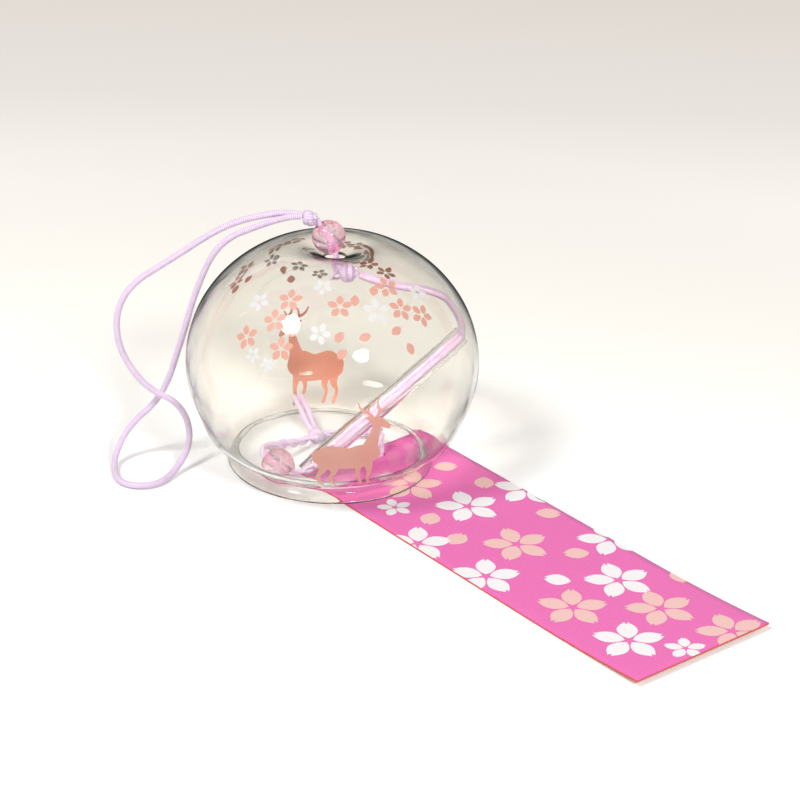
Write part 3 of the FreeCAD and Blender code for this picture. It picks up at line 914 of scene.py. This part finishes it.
hangingLoop = {
    "route": [
        (-6.1, -6.7, 71.6), (-7.4, -7.5, 72.0), (-13, -11.5, 71.2), (-19.5, -22.5, 68), (-26, -34.5, 59),
        (-32.5, -46.5, 50.5), (-32.5, -49.5, 37), (-27.5, -44, 23.5), (-21, -35.5, 18.5), (-20.3, -32.3, 7.5),
        (-17, -39.5, 1), (-12, -50, 1), (-19, -57.5, 1), (-32, -51, 1), (-34, -44.5, 9), (-28.5, -36.5, 18),
        (-26, -32, 34.5), (-24, -28.5, 49.5), (-20, -24, 63.5), (-12.5, -14, 69), (-6.6, -8.7, 71.9),
        (-5.5, -7.4, 71.6)],
}
line = splineLine(hangingLoop["route"])
piece = buildCord("hanging_loop_braided", "hanging_loop", [(line, cord["radius"])], lilacCord,
                  "hanging_loop")

# Two strands from the knot under the crown down through the tube
tube = {
    "foot": (6.68, -13.76, 2.76), "top": (18.01, 30.67, 36.62), "way": (0.19868, 0.77945, 0.59412),
    "side": 165.7, "length": 57.0, "radius": 2.75, "bore": 2.15, "round": 0.25, "roundSteps": 5,
    "segments": 64,
    "innerRoute": [(17, 29, 44.2), (14.8, 24.5, 49.6), (10.5, 14, 52.2), (6.5, 7.8, 54.2)],
    "stopperEnd": (4.23, 5.09, 55.65), "loopSide": (0.76884, -0.63944, 0), "reach": 2.0, "fold": 1.0,
    "strandStart": 3.25, "strandEnd": 2.05,
}
tubeFoot, tubeTop, tubeWay = Vector(tube["foot"]), Vector(tube["top"]), Vector(tube["way"])
tubeSide = aroundAxis(1, math.radians(tube["side"]), 0)
for side, word in ((1, "left"), (-1, "right")):
    shift = tubeSide * side
    control = [tubeTop - tubeWay * tube["reach"] + shift, tubeTop + tubeWay * tube["fold"] + shift]
    control += [Vector(place) + shift for place in tube["innerRoute"]]
    control.append(Vector(tube["stopperEnd"]) - Vector(tube["loopSide"]) * side)
    line = splineLine(control)
    piece = buildCord("inner_strand_" + word, None, [(line, cord["radius"])], warmLitCord,
                      "inner_cord_" + word)
    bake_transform(piece)
    start = tubeFoot + tubeWay * tube["strandStart"] + shift
    end = tubeTop - tubeWay * tube["strandEnd"] + shift
    line = splineLine([start, start.lerp(end, 0.5), end])
    piece = buildCord("tube_strand_" + word, "tube_cord", [(line, cord["radius"])], warmLitCord,
                      "tube_cord_" + word)

links = {
    "lower": [(7.32, -11.27, 4.66), (6.8, -13.29, 3.12), (5.73, -17.75, 2.7), (1.88, -19.22, 4.5)],
    "bead": [(1.85, -19.24, 4.52), (-3.34, -21.21, 6.94), (-6.5, -17.5, 6.2), (-7.5, -11, 4.2),
             (-8.5, -4, 2.4), (-9.43, 0.53, 2.1)],
    "strip": [(-9.95, 4.4, 2.1), (-8.8, 9.5, 1.4), (-4.8, 15.2, 1.6), (1.2, 17.2, 5.2), (6.4, 12.6, 5.8),
              (6.4, 12.6, 0.3)],
    "crown": [(-0.11, -0.13, 54.0), (1.0, 0.5, 59.5), (-1.15, -1.38, 65.99), (-2.88, -3.46, 69.58),
              (-3.5, -4.2, 70.6)],
    "tailLeft": [(-12.13, 3.01, 2.1), (-16, 3.6, 3.2), (-20.3, 4.8, 5.6), (-24.6, 5.2, 8.6)],
    "tailRight": [(-12.0, 4.0, 2.1), (-15.6, 5.6, 3.2), (-19.7, 6.7, 5.5), (-24, 7.3, 8.5)],
}

piece = buildPair("lower_link_strands", None, links["lower"], "lower_link")
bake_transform(piece)
buildPair("bead_cord_strands", "globe", links["bead"], "bead_cord")
piece = buildPair("strip_cord_strands", None, links["strip"], "strip_cord")
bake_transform(piece)
buildPair("crown_cord_strands", "crown_cord", links["crown"], "crown_cord")
for word in ("Left", "Right"):
    side = word.lower()
    line = splineLine(links["tail" + word])
    buildCord("cut_tail_" + side, "globe", [(line, cord["radius"])], warmLitCord, "tie_tail_" + side)
print("cords made")


# Knots: turns of the cord pulled tight round each other

knots = {
    "top_knot": {"body": "crown_cord", "centre": (-4.55, -5.46, 71.03), "way": (-0.608, -0.731, 0.309),
                 "length": 4.4, "radius": 2.05, "strand": 0.85, "turns": 2.4},
    "stopper_knot": {"body": "crown_cord", "centre": (1.98, 2.38, 56.24), "way": (0.6297, 0.7571, -0.1736),
                     "length": 6.2, "radius": 2.7, "strand": 0.95, "turns": 2.6},
    "tie_knot": {"body": "globe", "centre": (-10.27, 2.62, 2.1), "way": (-0.375, 0.927, 0),
                 "length": 4.6, "radius": 2.1, "strand": 0.85, "turns": 2.4},
}
knotShape = {
    "steps": 90, "taper": 0.18, "taperPower": 4, "lean": 0.7, "rideShare": 0.35, "fromShare": 0.04,
    "toShare": 0.96, "roundness": 0.4, "crossingShare": 1.1, "coreShare": 1.3, "leastCore": 0.6,
    "coreGap": 1.6,
}


def knotLines(values):
    # Turns wound over a core, with one strand crossing over them from end to end
    turn = upward.rotation_difference(Vector(values["way"]))
    centre = Vector(values["centre"])
    strand, reach = values["strand"], values["radius"] - values["strand"]
    half = values["length"] / 2 - strand

    def spot(radius, angle, height):
        return centre + turn @ aroundAxis(radius, angle, height)

    wound, crossing, core = [], [], []
    for step in range(knotShape["steps"] + 1):
        share = step / knotShape["steps"]
        level = 2 * share - 1
        bulge = reach * (1 - knotShape["taper"] * level ** knotShape["taperPower"])
        wound.append(spot(bulge, math.tau * values["turns"] * share, half * level))
        inside = min(max(share, knotShape["fromShare"]), knotShape["toShare"])
        out = (reach + strand * knotShape["rideShare"]) * math.sin(math.pi * inside) ** knotShape["roundness"]
        crossing.append(spot(out, math.pi * knotShape["lean"] * level,
                             half * knotShape["crossingShare"] * level))
        core.append(spot(0, 0, half * knotShape["coreShare"] * level))
    return wound, crossing, core


for name, values in knots.items():
    coreRadius = max(knotShape["leastCore"], values["radius"] - values["strand"] * knotShape["coreGap"])
    strands = zip(knotLines(values), (values["strand"], values["strand"], coreRadius))
    buildCord(name + "_wound", values["body"], strands, lilacCord, name)
print("knots made")


# Beads and clapper tube

beads = {
    "top_bead": {"centre": (-1.15, -1.38, 65.99), "way": (-0.38482, -0.4627, 0.79864)},
    "lower_bead": {"centre": (1.88, -19.22, 4.5), "way": (-0.85607, -0.3269, 0.40035)},
}
beadShape = {"radius": 4.5, "bore": 1.25, "steps": 40, "boreSteps": 6, "segments": 72, "lip": 0.25}


def beadProfile():
    radius, bore = beadShape["radius"], beadShape["bore"]
    limit = math.asin(bore / radius) + beadShape["lip"] / radius
    profile = []
    for step in range(beadShape["steps"] + 1):
        angle = limit + (math.pi - 2 * limit) * step / beadShape["steps"]
        profile.append((radius * math.sin(angle), radius * math.cos(angle)))
    end = radius * math.cos(limit) - beadShape["lip"]
    for step in range(beadShape["boreSteps"] + 1):
        profile.append((bore, -end + 2 * end * step / beadShape["boreSteps"]))
    return profile


for name, values in beads.items():
    points, faces = lathe(beadProfile(), beadShape["segments"], Vector(values["centre"]),
                          Vector(values["way"]))
    piece = addMesh(name + "_crackled", points, faces, [pinkBead], name)
    standFor(name)


def tubeSection():
    # The tube's closed section, its four corners rounded
    profile = []
    inner, outer, length, edge = tube["bore"], tube["radius"], tube["length"], tube["round"]
    corners = [(outer, 0, 1, 1, -90), (outer, length, 1, -1, 0),
               (inner, length, -1, -1, 90), (inner, 0, -1, 1, 180)]
    for radius, height, sideSign, upSign, start in corners:
        middleRadius, middleHeight = radius - sideSign * edge, height + upSign * edge
        for step in range(tube["roundSteps"] + 1):
            angle = math.radians(start + 90 * step / tube["roundSteps"])
            profile.append((middleRadius + edge * math.cos(angle), middleHeight + edge * math.sin(angle)))
    return profile


points, faces = lathe(tubeSection(), tube["segments"], tubeFoot, tubeWay)
piece = addMesh("clapper_tube_clear", points, faces, [tubeGlass], "clapper_tube")
standFor("clapper_tube")
print("beads and tube made")


# Table, light and camera

# Each row is a distance beyond the bell, away from the camera, and the table's colour there, painted greyer
# further back as shade
stage = {
    "size": 2600.0, "drop": 0.03, "brighten": 1.15, "plain": 0.86, "farFrom": 150.0, "farTo": 280.0,
    "away": (-0.769, 0.6393, 0),
    "rows": [(-20, "#FFFFFF"), (110, "#FFFBF4"), (220, "#FBF6F0"), (340, "#E9E4DE"), (520, "#E1DAD3")],
    "rampFrom": -30.0, "rampTo": 530.0,
}


def makeFloor():
    # Lacquered board: plain matte white near the bell, and painted warmer and greyer further back as shade,
    # where it gives off its own colour so that no light has to reach it
    material, tree = newMaterial("table_white_lacquered")
    place = objectPlace(tree)
    away = addNode(tree, "VectorMath", {0: place, 1: stage["away"]}, operation="DOT_PRODUCT")
    share = addNode(tree, "MapRange", {"Value": away.outputs["Value"], "From Min": stage["rampFrom"],
                                       "From Max": stage["rampTo"]})
    ramp = addNode(tree, "ValToRGB", {"Fac": share.outputs[0]})
    elements = ramp.color_ramp.elements
    while len(elements) < len(stage["rows"]):
        elements.new(0.5)
    for element, (distance, code) in zip(elements, stage["rows"]):
        element.position = (distance - stage["rampFrom"]) / (stage["rampTo"] - stage["rampFrom"])
        element.color = colour(code)
    bright = addNode(tree, "VectorMath", {0: ramp.outputs["Color"], "Scale": stage["brighten"]},
                     operation="SCALE")
    near = addNode(tree, "BsdfDiffuse", {"Color": bright.outputs[0]})
    far = addNode(tree, "Emission", {"Color": ramp.outputs["Color"], "Strength": 1.0})
    reach = addNode(tree, "VectorMath", {0: place}, operation="LENGTH")
    fade = addNode(tree, "MapRange", {"Value": reach.outputs["Value"], "From Min": stage["farFrom"],
                                      "From Max": stage["farTo"]})
    seen = addNode(tree, "MixShader", {0: fade.outputs[0], 1: near.outputs[0], 2: far.outputs[0]})
    plain = addNode(tree, "BsdfDiffuse", {"Color": (stage["plain"], stage["plain"], stage["plain"], 1)})
    path = addNode(tree, "LightPath")
    looks = addNode(tree, "Math", {0: path.outputs["Is Camera Ray"], 1: path.outputs["Is Transmission Ray"]},
                    operation="MAXIMUM")
    finishMaterial(tree, addNode(tree, "MixShader", {
        0: looks.outputs[0], 1: plain.outputs[0], 2: seen.outputs[0]}))
    half = stage["size"] / 2
    points = [(x, y, -stage["drop"]) for x, y in ((-half, -half), (half, -half), (half, half), (-half, half))]
    addMesh("table_top", points, [(0, 1, 2, 3)], [material], None, solid=False)


makeFloor()

light = {
    "ambient": 0.44, "ambientTint": "#FFFDFA", "reflectHorizon": "#E8E6E0", "reflectUp": "#262A26",
    "horizonFrom": 0.02, "horizonTo": 0.3, "distance": 1000.0, "aim": (0, 0, 25),
    "boxes": [{"name": "soft_box_right", "way": (0.38, 0.7, 0.6), "size": 170.0, "power": 3.4},
              {"name": "soft_box_left", "way": (-0.48, 0.35, 0.8), "size": 260.0, "power": 4.3}],
    "right": (0.6393, 0.769, 0), "near": (0.769, -0.6393, 0),  # what the boxes' ways are counted in, with up
}


def makeWorld():
    world = bpy.data.worlds.new("room")
    bpy.context.scene.world = world
    world.use_nodes = True
    tree = world.node_tree
    tree.nodes.clear()
    place = addNode(tree, "TexCoord")
    parts = addNode(tree, "SeparateXYZ", {0: place.outputs["Generated"]})
    rise = addNode(tree, "MapRange", {"Value": parts.outputs["Z"], "From Min": light["horizonFrom"],
                                      "From Max": light["horizonTo"]})
    # Glass and glossy pieces see a darker room above the table's pale horizon
    seen = addNode(tree, "Mix", {"Factor": rise.outputs[0], "A": colour(light["reflectHorizon"]),
                                 "B": colour(light["reflectUp"])}, data_type="RGBA")
    path = addNode(tree, "LightPath")
    mirror = addNode(tree, "Math", {0: path.outputs["Is Glossy Ray"], 1: path.outputs["Is Transmission Ray"]},
                     operation="MAXIMUM")
    room = addNode(tree, "Background", {"Color": colour(light["ambientTint"]), "Strength": light["ambient"]})
    reflected = addNode(tree, "Background", {"Color": seen.outputs["Result"], "Strength": 1.0})
    mixed = addNode(tree, "MixShader", {0: mirror.outputs[0], 1: room.outputs[0], 2: reflected.outputs[0]})
    addNode(tree, "OutputWorld", {"Surface": mixed.outputs[0]})


def makeLamps():
    right, near = Vector(light["right"]), Vector(light["near"])
    for values in light["boxes"]:
        u, v, z = values["way"]
        way = (right * u + near * v + upward * z).normalized()
        lamp = bpy.data.lights.new(values["name"], "AREA")
        lamp.shape = "DISK"
        lamp.size = values["size"] * millimetre
        lamp.energy = values["power"]
        holder = addObject(values["name"], lamp)
        place = (Vector(light["aim"]) + way * light["distance"]) * millimetre
        holder.matrix_world = Matrix.Translation(place) @ way.to_track_quat("Z", "Y").to_matrix().to_4x4()


makeWorld()
makeLamps()

view = {
    "place": (424.8, -328.7, 267.8), "yaw": 2.448, "pitch": 0.434, "roll": 0.039, "lens": 96.73,
    "sensor": 36.0, "clip": 10.0,
}


def makeCamera():
    yaw, pitch, roll = view["yaw"], view["pitch"], view["roll"]
    ahead = Vector((math.cos(pitch) * math.cos(yaw), math.cos(pitch) * math.sin(yaw), -math.sin(pitch)))
    level = Vector((math.sin(yaw), -math.cos(yaw), 0))
    high = level.cross(ahead)
    right = level * math.cos(roll) + high * math.sin(roll)
    above = high * math.cos(roll) - level * math.sin(roll)
    camera = bpy.data.cameras.new("camera")
    camera.sensor_width = view["sensor"]
    camera.lens = view["lens"]
    camera.clip_start = view["clip"] * millimetre
    holder = addObject("camera", camera)
    turn = Matrix((right, above, -ahead)).transposed().to_4x4()
    holder.matrix_world = Matrix.Translation(Vector(view["place"]) * millimetre) @ turn
    bpy.context.scene.camera = holder


makeCamera()
bpy.context.scene.view_settings.view_transform = "Standard"
print("stage made")
